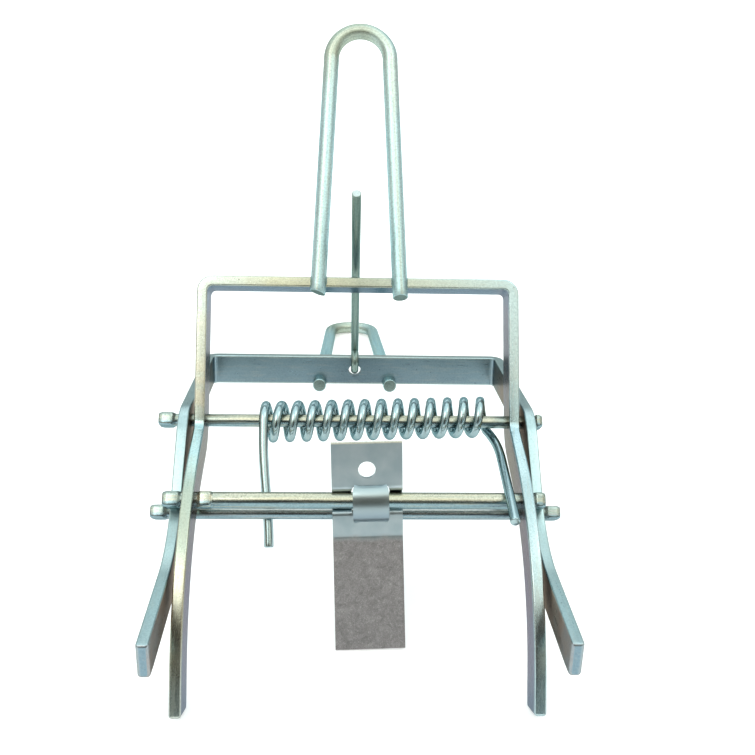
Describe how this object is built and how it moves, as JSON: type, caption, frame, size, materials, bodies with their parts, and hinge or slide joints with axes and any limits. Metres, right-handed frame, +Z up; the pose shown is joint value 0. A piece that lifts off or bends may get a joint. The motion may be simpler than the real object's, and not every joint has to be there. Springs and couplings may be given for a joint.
{
  "type": "snap mouse trap",
  "caption": "Sprung two-frame claw trap in plated steel: crossing claws on a pivot pin, torsion spring, trigger plate, latch rod and loop handles.",
  "frame": {"origin": "bottom centre of the whole trap, on the surface that it lies on", "axes": "+Z up, +X along the pivot pin to the side where the spring's arm crosses in front of the rods, +Y from the claws towards the handles"},
  "size_m": [0.1526, 0.273, 0.1844],
  "materials": {
    "plated_strip": "bright zinc plated hot rolled strip",
    "plated_wire": "bright zinc plated drawn wire",
    "plated_rod": "bright zinc plated cold drawn rod",
    "spring_wire": "bright zinc plated spring wire",
    "plated_sheet": "dull zinc plated sheet",
    "latch_wire": "grey zinc plated wire",
    "weld": "plated weld bead"
  },
  "bodies": {
    "rear": {"rear_frame": "plated_strip", "rear_handle": "plated_wire", "rear_welds": "weld", "rear_rod": "plated_rod", "pivot_pin": "plated_rod", "spring": "spring_wire"},
    "front": {"front_frame": "plated_strip", "front_handle": "plated_wire", "front_welds": "weld", "front_rod": "plated_rod"},
    "trigger": {"trigger_plate": "plated_sheet"},
    "latch": {"latch_rod": "latch_wire"}
  },
  "joints": [
    {"name": "jaw_open", "type": "hinge", "parent": "rear", "child": "front", "pos_m": [0, -0.02941, 0.05582], "axis": [-1, 0, 0], "range_deg": [0, 60], "stiffness_Nm_per_rad": 0.6, "springref_deg": -68.75, "deforming": ["spring"]},
    {"name": "trigger_swing", "type": "hinge", "parent": "front", "child": "trigger", "pos_m": [0, -0.06757, 0.0481], "axis": [-1, 0, 0], "range_deg": [-15, 110]},
    {"name": "latch_lift", "type": "hinge", "parent": "rear", "child": "latch", "pos_m": [0, 0.03893, 0.04056], "axis": [-1, 0, 0], "range_deg": [-2.5, 125]}
  ]
}
